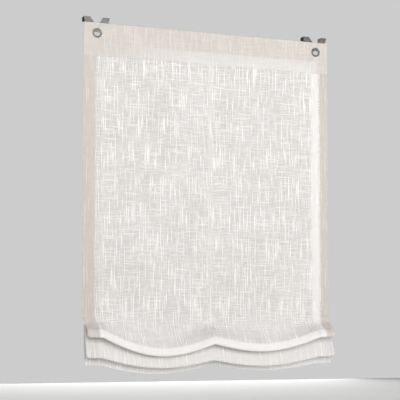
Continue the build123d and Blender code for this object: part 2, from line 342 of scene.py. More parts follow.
@dataclass(frozen=True)
class LinenFinish:
    """A sheer or two-layer slub linen, seen with the light in front of it and behind it, with painted shade
    and painted light laid on its colour.
    """

    name: str
    ground: Colour
    thread: Colour
    cover: tuple[float, float]
    pattern: Pattern
    # The painted shade's colour: the tan where the window's frame keeps the light from behind off the
    # cloth.
    painted_shade: Colour = (0.79, 0.73, 0.68)
    # The painted light's colour: the white where the cloth is lit from behind.
    bright: Colour = (0.955, 0.94, 0.925)
    glow: float = 0.35
    glow_lost: float = 0.9
    # How strongly the painted shade shows.
    painted_shade_strength: float = 0.8
    # How strongly the painted light shows, and how solid the cloth becomes where painted light or painted
    # shade lies on its two-layer parts.
    doubled: float = 0.85

    def made(self, weave: bpy.types.NodeTree) -> bpy.types.Material:
        """Makes the material.

        Args:
            weave: the slub weave's node group.

        Returns:
            The material.
        """
        material, w, shader, out = blank(self.name)
        place = w.node("ShaderNodeTexCoord")
        split = w.node("ShaderNodeSeparateXYZ")
        w.put(split.inputs[0], place.outputs[self.pattern.value])
        slubs = w.node("ShaderNodeGroup", node_tree=weave)
        w.put(slubs.inputs["Across"], split.outputs["X"])
        w.put(slubs.inputs["Along"], split.outputs["Z" if self.pattern is Pattern.SPACE else "Y"])
        # Two attributes carry the painted shade and the painted light.
        tone = w.node("ShaderNodeAttribute", attribute_name="tone").outputs["Fac"]
        light = w.node("ShaderNodeAttribute", attribute_name="light").outputs["Fac"]
        ground = w.mixed(w.maths("MULTIPLY", slubs.outputs["Cloud"], 0.25), self.ground, self.thread)
        cloth = w.mixed(slubs.outputs["Slub"], ground, self.thread)
        # Painted shade.
        cloth = w.mixed(w.maths("MULTIPLY", tone, self.painted_shade_strength), cloth, self.painted_shade)
        # Painted light.
        cloth = w.mixed(w.maths("MULTIPLY", light, self.doubled), cloth, self.bright)
        w.put(shader.inputs["Base Color"], cloth)
        shader.inputs["Roughness"].default_value = 0.9
        shader.inputs["Specular IOR Level"].default_value = 0.15
        shader.inputs["Sheen Weight"].default_value = 0.15
        bump = w.node("ShaderNodeBump")
        bump.inputs["Strength"].default_value = 0.5
        bump.inputs["Distance"].default_value = 0.35 * MM
        w.put(bump.inputs["Height"], slubs.outputs["Height"])
        w.put(shader.inputs["Normal"], bump.outputs["Normal"])
        through = w.node("ShaderNodeBsdfTranslucent")
        w.put(through.inputs["Color"], cloth)
        w.put(through.inputs["Normal"], bump.outputs["Normal"])
        lit = w.node("ShaderNodeMixShader")
        share = w.maths("MULTIPLY", light, -self.glow_lost * self.glow)
        w.put(lit.inputs[0], w.maths("ADD", share, self.glow))
        w.put(lit.inputs[1], shader.outputs[0])
        w.put(lit.inputs[2], through.outputs[0])
        solid = w.maths("MULTIPLY", slubs.outputs["Slub"], self.cover[1] - self.cover[0])
        solid = w.maths("ADD", solid, self.cover[0])
        solid = w.maths("MAXIMUM", solid, w.maths("MULTIPLY", light, self.doubled))
        solid = w.maths("MAXIMUM", solid, w.maths("MULTIPLY", tone, self.doubled))
        open_weave = w.node("ShaderNodeBsdfTransparent")
        cover = w.node("ShaderNodeMixShader")
        w.put(cover.inputs[0], solid)
        w.put(cover.inputs[1], open_weave.outputs[0])
        w.put(cover.inputs[2], lit.outputs[0])
        w.put(out.inputs["Surface"], cover.outputs[0])
        return material


@dataclass(frozen=True)
class MetalFinish:
    """A bright or satin metal."""

    name: str
    colour: Colour
    dark: Colour
    roughness: tuple[float, float]

    def made(self, wear: bpy.types.NodeTree) -> bpy.types.Material:
        """Makes the material.

        Args:
            wear: the metal wear's node group.

        Returns:
            The material.
        """
        material, w, shader, _ = blank(self.name)
        place = w.node("ShaderNodeTexCoord")
        marks = w.node("ShaderNodeGroup", node_tree=wear)
        w.put(marks.inputs["Vector"], place.outputs["Object"])
        w.put(shader.inputs["Base Color"], w.mixed(marks.outputs["Cloud"], self.colour, self.dark))
        w.put(shader.inputs["Roughness"], w.stretched(marks.outputs["Scratch"], 0.3, 0.7, self.roughness))
        shader.inputs["Metallic"].default_value = 1.0
        bump = w.node("ShaderNodeBump")
        bump.inputs["Strength"].default_value = 0.08
        bump.inputs["Distance"].default_value = 0.05 * MM
        w.put(bump.inputs["Height"], marks.outputs["Scratch"])
        w.put(shader.inputs["Normal"], bump.outputs["Normal"])
        return material


@dataclass(frozen=True)
class PlainFinish:
    """Moulded plastic, braided cotton or painted board, with a fine grain."""

    name: str
    colour: Colour
    shade: Colour
    roughness: float
    grain: float
    depth: float = 0.1 * MM
    glow: float = 0.0

    def made(self) -> bpy.types.Material:
        """Makes the material.

        Returns:
            The material.
        """
        material, w, shader, out = blank(self.name)
        place = w.node("ShaderNodeTexCoord")
        grain = w.node("ShaderNodeTexNoise")
        w.put(grain.inputs["Vector"], place.outputs["Object"])
        w.put(grain.inputs["Scale"], self.grain)
        w.put(grain.inputs["Detail"], 3.0)
        share = w.stretched(grain.outputs["Fac"], 0.35, 0.65)
        colour = w.mixed(share, self.shade, self.colour)
        w.put(shader.inputs["Base Color"], colour)
        shader.inputs["Roughness"].default_value = self.roughness
        bump = w.node("ShaderNodeBump")
        bump.inputs["Strength"].default_value = 0.3
        bump.inputs["Distance"].default_value = self.depth
        w.put(bump.inputs["Height"], grain.outputs["Fac"])
        w.put(shader.inputs["Normal"], bump.outputs["Normal"])
        if self.glow > 0:
            through = w.node("ShaderNodeBsdfTranslucent")
            w.put(through.inputs["Color"], colour)
            lit = w.node("ShaderNodeMixShader")
            lit.inputs[0].default_value = self.glow
            w.put(lit.inputs[1], shader.outputs[0])
            w.put(lit.inputs[2], through.outputs[0])
            w.put(out.inputs["Surface"], lit.outputs[0])
        return material


def blank(name: str) -> tuple[bpy.types.Material, Wiring, bpy.types.Node, bpy.types.Node]:
    """An empty material with its Principled shader and its output.

    Args:
        name: the material's name.

    Returns:
        The material, its wiring, the shader and the output.
    """
    material = bpy.data.materials.new(name)
    material.use_nodes = True
    nodes = material.node_tree.nodes
    return material, Wiring(material.node_tree), nodes["Principled BSDF"], nodes["Material Output"]


@dataclass
class Finishes:
    """Every material of the blind."""

    sheer: bpy.types.Material = field(init=False)
    folded: bpy.types.Material = field(init=False)
    band: bpy.types.Material = field(init=False)
    nickel: bpy.types.Material = field(init=False)
    steel: bpy.types.Material = field(init=False)
    bar: bpy.types.Material = field(init=False)
    tape: bpy.types.Material = field(init=False)
    thread: bpy.types.Material = field(init=False)
    cord: bpy.types.Material = field(init=False)
    ring: bpy.types.Material = field(init=False)
    stop: bpy.types.Material = field(init=False)

    def __post_init__(self) -> None:
        """Makes the shared groups and then each material."""
        weave = make_slub_weave()
        wear = make_metal_wear()
        ground = (0.715, 0.68, 0.655)
        thread = (0.95, 0.932, 0.915)
        self.sheer = LinenFinish("sheer_linen", ground, thread, (0.35, 0.90), Pattern.SPACE).made(weave)
        self.folded = LinenFinish("folded_linen", ground, thread, (0.35, 0.90), Pattern.CLOTH).made(weave)
        self.band = LinenFinish(
            "doubled_linen", (0.75, 0.71, 0.67), (0.87, 0.84, 0.81), (0.85, 0.95), Pattern.CLOTH, glow=0.25
        ).made(weave)
        self.nickel = MetalFinish(
            "polished_nickel", (0.22, 0.213, 0.20), (0.14, 0.136, 0.13), (0.16, 0.28)
        ).made(wear)
        self.steel = MetalFinish(
            "satin_steel", (0.22, 0.216, 0.208), (0.15, 0.147, 0.143), (0.34, 0.48)
        ).made(wear)
        self.bar = MetalFinish(
            "mill_aluminium", (0.78, 0.78, 0.79), (0.7, 0.7, 0.71), (0.3, 0.45)
        ).made(wear)
        self.tape = PlainFinish(
            "cotton_tape", (0.97, 0.965, 0.95), (0.93, 0.92, 0.90), 0.9, 1800.0, glow=0.15
        ).made()
        self.thread = PlainFinish(
            "sewing_thread", (0.95, 0.94, 0.92), (0.85, 0.83, 0.80), 0.8, 3000.0
        ).made()
        self.cord = PlainFinish(
            "braided_cotton", (0.93, 0.92, 0.89), (0.80, 0.78, 0.74), 0.85, 2600.0
        ).made()
        self.ring = PlainFinish(
            "ring_plastic", (0.90, 0.90, 0.88), (0.84, 0.84, 0.82), 0.3, 500.0, 0.02 * MM
        ).made()
        self.stop = PlainFinish(
            "stop_plastic", (0.88, 0.88, 0.86), (0.82, 0.82, 0.80), 0.35, 700.0, 0.03 * MM
        ).made()


# --- meshes ---------------------------------------------------------------------------------------------


def add_piece(
    name: str, mesh: bpy.types.Mesh, material: bpy.types.Material, body: str, smooth: bool = True
) -> bpy.types.Object:
    """Shows a mesh as a piece of the blind.

    Args:
        name: the piece's name.
        mesh: its mesh, with its place in it.
        material: its finish.
        body: the body that it rides on.
        smooth: whether its faces are shaded smooth.

    Returns:
        The piece.
    """
    mesh.name = name
    if not mesh.materials:
        mesh.materials.append(material)
    mesh.polygons.foreach_set("use_smooth", [smooth] * len(mesh.polygons))
    mesh.set_sharp_from_angle(angle=math.radians(42))
    piece = bpy.data.objects.new(name, mesh)
    bpy.context.scene.collection.objects.link(piece)
    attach(piece, body)
    LOG.info("%s: %d faces on %s", name, len(mesh.polygons), body)
    return piece


def mesh_of(name: str, points: np.ndarray, faces: Sequence[Sequence[int]]) -> bpy.types.Mesh:
    """A mesh of these points and faces.

    Args:
        name: the mesh's name.
        points: its points.
        faces: its faces, as indices of the points.

    Returns:
        The mesh.
    """
    mesh = bpy.data.meshes.new(name)
    mesh.from_pydata(points.tolist(), [], faces)
    mesh.update()
    return mesh


def thickened(mesh: bpy.types.Mesh, thickness: float) -> bpy.types.Mesh:
    """A sheet given a wall, half on each side.

    Args:
        mesh: the open sheet.
        thickness: the wall's thickness.

    Returns:
        The closed mesh.
    """
    scratch = bpy.data.objects.new("scratch_sheet", mesh)
    bpy.context.scene.collection.objects.link(scratch)
    wall = scratch.modifiers.new("wall", "SOLIDIFY")
    wall.thickness = thickness
    wall.offset = 0.0
    return evaluated(scratch)


def evaluated(scratch: bpy.types.Object) -> bpy.types.Mesh:
    """The plain mesh that an object's modifiers make.

    Args:
        scratch: the object, which is removed.

    Returns:
        The mesh, facing outward.
    """
    ready = scratch.evaluated_get(bpy.context.evaluated_depsgraph_get())
    mesh = bpy.data.meshes.new_from_object(ready)
    bpy.data.objects.remove(scratch)
    return facing_out(mesh)


def skin(stations: int, around: int, closed: bool) -> list[tuple[int, ...]]:
    """The faces between sections that follow one another.

    Args:
        stations: how many sections there are.
        around: how many points each has.
        closed: whether the last one meets the first; if not, the two ends are capped.

    Returns:
        The faces.
    """
    faces: list[tuple[int, ...]] = []
    for i in range(stations if closed else stations - 1):
        here, ahead = i * around, ((i + 1) % stations) * around
        for j in range(around):
            k = (j + 1) % around
            faces.append((here + j, here + k, ahead + k, ahead + j))
    if not closed:
        faces += [tuple(range(around))[::-1], tuple((stations - 1) * around + k for k in range(around))]
    return faces


def lathe(
    profile: Sequence[tuple[float, float]], centre: Vector, steps: int = 96
) -> tuple[np.ndarray, list]:
    """Turns a closed profile about the Y axis through a centre.

    Args:
        profile: (radius, y) points, in order round the section.
        centre: where the axis stands.
        steps: how many stations the turn has.

    Returns:
        The points and the faces.
    """
    angles = np.linspace(0, 2 * math.pi, steps, endpoint=False)
    rings = [
        [(centre.x + r * math.cos(a), y, centre.z + r * math.sin(a)) for r, y in profile] for a in angles
    ]
    return np.array(rings).reshape(-1, 3), skin(steps, len(profile), closed=True)


def facing_out(mesh: bpy.types.Mesh) -> bpy.types.Mesh:
    """Turns a mesh inside out if its volume is negative.

    Args:
        mesh: the mesh.

    Returns:
        The same mesh.
    """
    mesh.calc_loop_triangles()
    co = np.array([v.co for v in mesh.vertices])
    tri = np.array([t.vertices for t in mesh.loop_triangles])
    a, b, c = co[tri[:, 0]], co[tri[:, 1]], co[tri[:, 2]]
    if (a * np.cross(b, c)).sum() < 0:
        mesh.flip_normals()
    return mesh


def tube(path: np.ndarray, radius: float, sides: int, closed: bool = False) -> tuple[np.ndarray, list]:
    """A tube along a path, with flat ends.

    Args:
        path: the points of its middle line.
        radius: the tube's radius.
        sides: how many sides its section has.
        closed: whether it runs back into itself.

    Returns:
        The points and the faces.
    """
    ahead = np.roll(path, -1, axis=0) - np.roll(path, 1, axis=0)
    if not closed:
        ahead[0], ahead[-1] = path[1] - path[0], path[-1] - path[-2]
    ahead /= np.linalg.norm(ahead, axis=1, keepdims=True)
    side = np.cross(ahead[0], (0.31, 0.89, 0.33))
    points = []
    for here, along in zip(path, ahead):
        side = side - along * float(side @ along)
        side = side / np.linalg.norm(side)
        up = np.cross(along, side)
        for k in range(sides):
            turn = 2 * math.pi * k / sides
            points.append(here + radius * (math.cos(turn) * side + math.sin(turn) * up))
    return np.array(points), skin(len(path), sides, closed)


def joined(parts: Sequence[tuple[np.ndarray, list]]) -> tuple[np.ndarray, list]:
    """Several point and face lists as one.

    Args:
        parts: the points and the faces of each.

    Returns:
        All points and all faces.
    """
    points, faces, start = [], [], 0
    for some, of_them in parts:
        points.append(some)
        faces += [tuple(i + start for i in face) for face in of_them]
        start += len(some)
    return np.concatenate(points), faces


# --- geometry node trees --------------------------------------------------------------------------------


@dataclass
class RepeatTree:
    """A Geometry Nodes tree with named inputs, and the modifier that runs it."""

    name: str
    tree: bpy.types.GeometryNodeTree = field(init=False)
    inside: bpy.types.Node = field(init=False)
    ids: dict[str, str] = field(default_factory=dict)

    def __post_init__(self) -> None:
        """Makes the tree with its geometry sockets."""
        self.tree = bpy.data.node_groups.new(self.name, "GeometryNodeTree")
        self.tree.interface.new_socket(name="Geometry", in_out="INPUT", socket_type="NodeSocketGeometry")
        self.tree.interface.new_socket(name="Geometry", in_out="OUTPUT", socket_type="NodeSocketGeometry")
        self.inside = self.tree.nodes.new("NodeGroupInput")

    def takes(self, name: str, kind: str = "NodeSocketFloat") -> None:
        """Adds a named input.

        Args:
            name: the input's name.
            kind: its socket type.
        """
        socket = self.tree.interface.new_socket(name=name, in_out="INPUT", socket_type=kind)
        self.ids[name] = socket.identifier

    def node(self, kind: str, **inputs: Socket | float | tuple) -> bpy.types.Node:
        """Places a node and links or sets its inputs.

        Args:
            kind: the node's type.
            inputs: values by socket name, with _ for a space.

        Returns:
            The node.
        """
        made = self.tree.nodes.new(kind)
        for name, value in inputs.items():
            socket = made.inputs[name.replace("_", " ")]
            if isinstance(value, bpy.types.NodeSocket):
                self.tree.links.new(value, socket)
            else:
                socket.default_value = value
        return made

    def ends(self, instances: Socket) -> None:
        """Realizes the instances, gives them the Material input and puts them out.

        Args:
            instances: what the tree has placed.
        """
        real = self.node("GeometryNodeRealizeInstances", Geometry=instances)
        dressed = self.node(
            "GeometryNodeSetMaterial", Geometry=real.outputs[0], Material=self.inside.outputs["Material"]
        )
        out = self.tree.nodes.new("NodeGroupOutput")
        self.tree.links.new(dressed.outputs[0], out.inputs[0])

    def run(self, host: bpy.types.Mesh, **values: object) -> bpy.types.Mesh:
        """Runs the tree on a host mesh.

        Args:
            host: the points or the path that it works on.
            values: its inputs by name, with _ for a space.

        Returns:
            The plain mesh.
        """
        scratch = bpy.data.objects.new("scratch_" + self.name, host)
        bpy.context.scene.collection.objects.link(scratch)
        modifier = scratch.modifiers.new(self.name, "NODES")
        modifier.node_group = self.tree
        for name, value in values.items():
            modifier[self.ids[name.replace("_", " ")]] = value
        return evaluated(scratch)


def make_stitch_tree() -> RepeatTree:
    """Stitches laid end to end along a path.

    Returns:
        The tree, with Spacing, Length, Thread and Material inputs.
    """
    tree = RepeatTree("stitch_run")
    for name in ("Spacing", "Length", "Thread"):
        tree.takes(name)
    tree.takes("Material", "NodeSocketMaterial")
    given = tree.inside.outputs
    path = tree.node("GeometryNodeMeshToCurve", Mesh=given["Geometry"])
    spaced = tree.node("GeometryNodeResampleCurve", Curve=path.outputs[0])
    spaced.mode = "LENGTH"
    tree.tree.links.new(given["Spacing"], spaced.inputs["Length"])
    stitch = tree.node("GeometryNodeMeshUVSphere", Segments=6, Rings=5, Radius=0.5)
    sizes = tree.node("ShaderNodeCombineXYZ", X=given["Thread"], Y=given["Thread"], Z=given["Length"])
    shaped = tree.node("GeometryNodeTransform", Geometry=stitch.outputs[0], Scale=sizes.outputs[0])
    smooth = tree.node("GeometryNodeSetShadeSmooth", Geometry=shaped.outputs[0])
    tangent = tree.node("GeometryNodeInputTangent")
    aimed = tree.node("FunctionNodeAlignRotationToVector", Vector=tangent.outputs[0])
    aimed.axis = "Z"
    placed = tree.node(
        "GeometryNodeInstanceOnPoints",
        Points=spaced.outputs[0],
        Instance=smooth.outputs[0],
        Rotation=aimed.outputs[0],
    )
    tree.ends(placed.outputs[0])
    return tree


def make_ring_tree() -> RepeatTree:
    """A ring lying flat at each point.

    Returns:
        The tree, with Radius, Wire and Material inputs.
    """
    tree = RepeatTree("ring_row")
    for name in ("Radius", "Wire"):
        tree.takes(name)
    tree.takes("Material", "NodeSocketMaterial")
    given = tree.inside.outputs
    line = tree.node("GeometryNodeCurvePrimitiveCircle", Resolution=40, Radius=given["Radius"])
    section = tree.node("GeometryNodeCurvePrimitiveCircle", Resolution=12, Radius=given["Wire"])
    ring = tree.node("GeometryNodeCurveToMesh", Curve=line.outputs[0])
    tree.tree.links.new(section.outputs[0], ring.inputs["Profile Curve"])
    smooth = tree.node("GeometryNodeSetShadeSmooth", Geometry=ring.outputs[0])
    points = tree.node("GeometryNodeMeshToPoints", Mesh=given["Geometry"])
    placed = tree.node("GeometryNodeInstanceOnPoints", Points=points.outputs[0], Instance=smooth.outputs[0])
    tree.ends(placed.outputs[0])
    return tree


# --- the cloth ------------------------------------------------------------------------------------------


@dataclass(frozen=True)
class FoldShape:
    """Where the gathered cloth folds, as depths below the cloth's top edge."""

    side: dict[str, float]
    centre: dict[str, float]
    swag_left: dict[str, float]
    swag_right: dict[str, float]
    column: float
    half: float
    start: float
    top: float
    bulge_1: float = 48 * MM
    bulge_2: float = 36 * MM
    bulge_hem: float = 9 * MM

    def depths(self, x: float) -> dict[str, float]:
        """How deep each fold edge lies.

        Args:
            x: where along the header.

        Returns:
            The depths below the cloth's top edge, by the edge's name.
        """
        along = min(abs(x) / self.column, 1.0)
        swag = self.swag_left if x < 0 else self.swag_right
        rise = math.sin(math.pi * along)
        round_off = max((abs(x) - self.half + 12 * MM) / (12 * MM), 0.0) ** 2
        found = {k: c + (self.side[k] - c) * along + swag[k] * rise for k, c in self.centre.items()}
        found["fold_1"] -= 6 * MM * round_off
        found["fold_2"] -= 4 * MM * round_off
        return found

    def line(self, x: float) -> np.ndarray:
        """The middle line of the folded cloth at x, as (y, z) points.

        Args:
            x: where along the header.

        Returns:
            The points, from the panel's lower end to the hem's lower edge.
        """
        d = self.depths(x)
        b1 = self.bulge_1 * (1 + 0.05 * math.sin(9 * x + 1) + 0.03 * math.sin(23 * x))
        b2 = self.bulge_2 * (1 + 0.06 * math.sin(11 * x + 2))
        rise_1 = d["fold_1"] - d["turn_1"]
        drop_1 = d["fold_1"] - self.start
        drop_2 = d["fold_2"] - d["turn_1"]
        rise_2 = d["fold_2"] - d["turn_2"]
        drop_3 = d["hem"] - d["turn_2"]
        front = [(0.05, 0.22), (0.22, 0.40), (0.52, 0.55), (0.80, 0.69), (0.96, 0.83)]
        front += [(1, 0.93), (0.96, 0.99)]
        back = [(0.84, 0.98), (0.58, 0.68), (0.30, 0.36), (0.13, 0.14)]
        second = [(0.17, 0.16), (0.34, 0.36), (0.64, 0.56), (0.90, 0.78), (1, 0.93), (0.95, 0.99)]
        second_back = [(0.78, 0.98), (0.60, 0.74), (0.34, 0.48), (0.13, 0.22)]
        points = [(0.0, self.start)]
        points += [(-b1 * y, self.start + drop_1 * down) for y, down in front]
        points += [(-b1 * 0.90, d["fold_1"])]
        points += [(-b1 * y, d["turn_1"] + rise_1 * down) for y, down in back]
        points += self.turn(d["turn_1"])
        points += [(0.2 * MM, d["turn_1"] + 4 * MM), (-2.6 * MM, d["turn_1"] + 8 * MM)]
        points += [(-b2 * y, d["turn_1"] + drop_2 * down) for y, down in second]
        points += [(-b2 * 0.87, d["fold_2"])]
        points += [(-b2 * y, d["turn_2"] + rise_2 * down) for y, down in second_back]
        points += self.turn(d["turn_2"])
        points += [(0.7 * MM, d["turn_2"] + 6 * MM), (-self.bulge_hem * 0.1, d["turn_2"] + drop_3 * 0.3)]
        points += [(-self.bulge_hem * 0.6, d["turn_2"] + drop_3 * 0.65), (-self.bulge_hem, d["hem"])]
        return np.array([(y, self.top - depth) for y, depth in points])

    @staticmethod
    def turn(depth: float) -> list[tuple[float, float]]:
        """The small turn where the cloth is caught at a ring."""
        return [(-0.2 * MM, depth + 1.2 * MM), (0.5 * MM, depth), (1.2 * MM, depth + 1.2 * MM)]


def in_mm(**sizes: float) -> dict[str, float]:
    """Named sizes in millimetres, as metres."""
    return {name: size * MM for name, size in sizes.items()}


def smoothed(points: np.ndarray, per_span: int) -> np.ndarray:
    """A Catmull-Rom curve through points.

    Args:
        points: the points that it goes through.
        per_span: how many steps each span gets.

    Returns:
        The curve's points.
    """
    padded = np.concatenate([[2 * points[0] - points[1]], points, [2 * points[-1] - points[-2]]])
    out = []
    for i in range(1, len(padded) - 2):
        a, b, c, d = padded[i - 1 : i + 3]
        for k in range(per_span):
            t = k / per_span
            square = 2 * a - 5 * b + 4 * c - d
            cube = 3 * b - a - 3 * c + d
            out.append(0.5 * (2 * b + (c - a) * t + square * t**2 + cube * t**3))
    return np.array(out + [points[-1]])


@dataclass
class Cloth:
    """The sewn linen: header band, panel with its side hems, folds and bottom hem."""

    finishes: Finishes
    hem_width: float = 60 * MM
    hem_gap: float = 0.8 * MM
    # How far in from each end the painted shade reaches, where the window's frame keeps the light from
    # behind off the cloth; the painted light of the lit hems begins there.
    painted_shade_left: float = 38 * MM
    painted_shade_right: float = 28 * MM
    rim: float = 24 * MM
    per_span: int = 5
    cloth: float = 0.4 * MM
    column_step: float = 5 * MM
    hole_cut: float = 0.83
    hole_edge: float = 0.79
    hole_reach: float = 1.3

    def __post_init__(self) -> None:
        """Reads the cloth's place from the frame."""
        low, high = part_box("cloth_panel")
        self.half = high.x
        self.panel_top, self.panel_bottom = high.z, low.z
        header_low, header_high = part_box("cloth_header")
        self.top, self.header_bottom = header_high.z, header_low.z
        self.header_half_depth = header_high.y
        column = abs(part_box("ring_tape_left")[0].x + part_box("ring_tape_left")[1].x) / 2
        self.shape = FoldShape(
            side=in_mm(fold_1=940, turn_1=903, fold_2=1000, turn_2=914, hem=1020),
            centre=in_mm(fold_1=960, turn_1=903, fold_2=1009, turn_2=914, hem=1021),
            swag_left=in_mm(fold_1=45, turn_1=45, fold_2=26.5, turn_2=40, hem=27.5),
            swag_right=in_mm(fold_1=32, turn_1=34, fold_2=22.5, turn_2=31, hem=19.5),
            column=column,
            half=self.half,
            start=self.top - self.panel_bottom,
            top=self.top,
        )
        self.gather_height = self.panel_bottom + 4 * MM

    def columns(self, hems: bool = True) -> list[tuple[float, float, float]]:
        """The cloth's columns as (x, distance behind the front layer, flat place across).

        Args:
            hems: whether the turned hems are included.

        Returns:
            The columns, from the left hem's inner edge round to the right hem's.
        """
        front = np.linspace(-self.half, self.half, int(2 * self.half / self.column_step) + 1)
        if not hems:
            return [(float(x), 0.0, float(x)) for x in front]
        count = int(self.hem_width / self.column_step) + 1
        turned = np.linspace(self.half - self.hem_width, self.half, count)
        left = [(-float(x), self.hem_gap, -2 * self.half + float(x)) for x in turned]
        right = [(float(x), self.hem_gap, 2 * self.half - float(x)) for x in turned[::-1]]
        edge = 0.5 * self.hem_gap
        middle = [(float(x), 0.0, float(x)) for x in front]
        left_turn = [(-self.half - edge * 0.7, edge, -self.half - edge)]
        right_turn = [(self.half + edge * 0.7, edge, self.half + edge)]
        return left + left_turn + middle + right_turn + right

    def tone(self, x: float, rows: np.ndarray) -> np.ndarray:
        """How much painted shade and painted light the cloth carries down a column.

        Args:
            x: where along the header.
            rows: the rows there.

        Returns:
            Each row's shares of the painted shade and of the painted light.
        """
        inset = self.half - abs(x)
        width = self.painted_shade_left if x < 0 else self.painted_shade_right
        # Painted shade at the ends, where the window's frame keeps the light from behind off the cloth.
        painted_shade_share = 1 - smooth_step(width - 4 * MM, width + 4 * MM, inset)
        fade, most = (10 * MM, 0.55) if x < 0 else (4 * MM, 0.9)
        # Painted light on the two-layer hems, from the painted shade's edge to the hem's inner edge, where
        # they are lit from behind; weaker on the left.
        bright = most * smooth_step(width - 3 * MM, width + 7 * MM, inset)
        bright *= 1 - smooth_step(self.hem_width - fade, self.hem_width + fade, inset)
        # Painted light on the middle tape, lit from behind through the panel.
        bright = max(bright, 0.5 * (1 - smooth_step(6 * MM, 8 * MM, abs(x))))
        return np.tile((painted_shade_share * 0.85, bright), (len(rows), 1))

    def fold_painted_shading(self, x: float, rows: np.ndarray) -> np.ndarray:
        """The folds' painted light and shade: painted light over the first fold, brightest along its rim,
        and over the folds' backs, painted shade under painted light on the second fold, and a pale last
        layer of a little painted shade under painted light.

        Args:
            x: where along the header.
            rows: the rows there.

        Returns:
            Each row's shares of the painted shade and of the painted light.
        """
        tints = self.tone(x, rows)
        depth = self.shape.depths(x)
        edge = self.top - depth["fold_1"]
        at = np.arange(len(rows)) / self.per_span
        first = at <= FoldMark.FIRST_EDGE
        second = (at >= FoldMark.SECOND_START) & (at <= FoldMark.SECOND_EDGE)
        last = at >= FoldMark.LAST_START
        backs = ~(first | second | last)
        low, high = self.rim - 2 * MM, self.rim + 2 * MM
        # The band within the rim's height above the first fold's edge, which takes a painted highlight.
        rim = np.array([1 - smooth_step(low, high, z - edge) for z in rows[:, 1]])
        # How much painted light the first fold's front takes: fading in from the panel, and less where
        # painted shade lies.
        painted_front_light = np.clip(at / 3, 0, 1) * (1 - 0.8 * tints[:, 0])
        # Painted light on the first fold's front, brightest in the rim band.
        tints[first, 1] = np.maximum(tints[first, 1], (0.7 + 0.3 * rim[first]) * painted_front_light[first])
        # Painted light on the folds' backs.
        tints[backs, 1] = np.maximum(tints[backs, 1], 0.5)
        # Painted shade under painted light on the second fold.
        tints[second, 0] = 0.35 + 0.4 * tints[second, 0]
        tints[second, 1] = 0.95 - 0.3 * tints[second, 0]
        # Painted shade under painted light on the last layer, with less painted shade.
        tints[last, 0] = 0.2 + 0.4 * tints[last, 0]
        tints[last, 1] = 0.9 - 0.3 * tints[last, 0]
        return tints

    def sheet(
        self,
        name: str,
        columns: Sequence[tuple[float, float, float]],
        place: Callable[[float, float], np.ndarray],
        tone: Callable[[float, np.ndarray], np.ndarray],
    ) -> bpy.types.Mesh:
        """Lays a grid of cloth.

        Args:
            name: the mesh's name.
            columns: the columns, as columns() gives them.
            place: (y, z, flat length) of each row, for an x and a distance behind the front layer.
            tone: the two tints of each row, for an x and the rows there.

        Returns:
            The open sheet, with its flat places as a UV map and its painted shade and painted light as
            attributes.
        """
        rows = [place(x, behind) for x, behind, _ in columns]
        count = len(rows[0])
        pairs = list(zip(columns, rows))
        points = np.array([[(self.drawn_in(x, z), y, z) for y, z, _ in row] for (x, _, _), row in pairs])
        flat = np.array([[(u, v) for _, _, v in row] for (_, _, u), row in pairs])
        faces = [
            (i * count + j, i * count + j + 1, (i + 1) * count + j + 1, (i + 1) * count + j)
            for i in range(len(columns) - 1)
            for j in range(count - 1)
        ]
        mesh = mesh_of(name, points.reshape(-1, 3), faces)
        uv = mesh.uv_layers.new(name="flat")
        corners = np.zeros(len(mesh.loops), int)
        mesh.loops.foreach_get("vertex_index", corners)
        uv.data.foreach_set("uv", flat.reshape(-1, 2)[corners].ravel())
        # Painted shade and painted light, one share of each per point.
        tints = np.concatenate([tone(x, row) for (x, _, _), row in pairs])
        for i, attribute in enumerate(("tone", "light")):
            mesh.attributes.new(attribute, "FLOAT", "POINT").data.foreach_set("value", tints[:, i])
        return mesh

    def drawn_in(self, x: float, z: float) -> float:
        """The gathered cloth's left end stands a little further in than the panel's.

        Args:
            x: where the cloth lies across its width.
            z: how high it hangs.

        Returns:
            Where it shows.
        """
        low = smooth_step(self.panel_bottom, self.panel_bottom - 34 * MM, z)
        near = smooth_step(-self.half + 0.12, -self.half, x)
        return x + 6 * MM * low * near

    def panel_wave(self, x: float, z: float) -> float:
        """How far the hanging panel stands forward of flat.

        Args:
            x: where along the header.
            z: how high.

        Returns:
            The distance, which is negative towards the room.
        """
        fade = math.sin(math.pi * (self.panel_top - z) / (self.panel_top - self.panel_bottom))
        ripple = 0.6 * math.sin(17 * x + 3 * z) + 0.4 * math.sin(31 * x - 5 * z + 2)
        return -1.4 * MM * fade * (1.1 + ripple)

    def build_header(self) -> None:
        """The header: one strip turned over at the top, its two layers meeting at the seam."""
        deep = self.header_half_depth - self.cloth
        seam = 0.7 * MM
        low = self.header_bottom + self.cloth
        rise = np.linspace(low + 7 * MM, self.top - deep, 36)
        arc = np.linspace(0, math.pi, 9)[1:-1]
        back = [(seam, low)] + [(deep, float(z)) for z in rise]
        over = [(deep * math.cos(a), self.top - deep + (deep - self.cloth / 2) * math.sin(a)) for a in arc]
        front = [(-deep, float(z)) for z in rise[::-1]] + [(-seam, low)]
        profile = np.array(back + over + front)
        steps = np.concatenate([[0], np.cumsum(np.linalg.norm(np.diff(profile, axis=0), axis=1))])
        flat = self.header_bottom + steps[-1] - steps

        def place(x: float, behind: float) -> np.ndarray:
            """Rows of the header at x."""
            return np.column_stack([profile, flat])

        def tone(x: float, rows: np.ndarray) -> np.ndarray:
            """The header carries painted shade round its bar, more at its ends and little below the bar,
            where painted light shows, fading out towards the left.

            Args:
                x: where along the header.
                rows: the rows there.

            Returns:
                Each row's shares of the painted shade and of the painted light.
            """
            inset = self.half - abs(x)
            reach = 0.055 if x < 0 else self.painted_shade_right
            end = 1 - smooth_step(reach, reach + 0.015, inset)
            below = np.array([1 - smooth_step(0.034, 0.038, z - self.header_bottom) for z in rows[:, 1]])
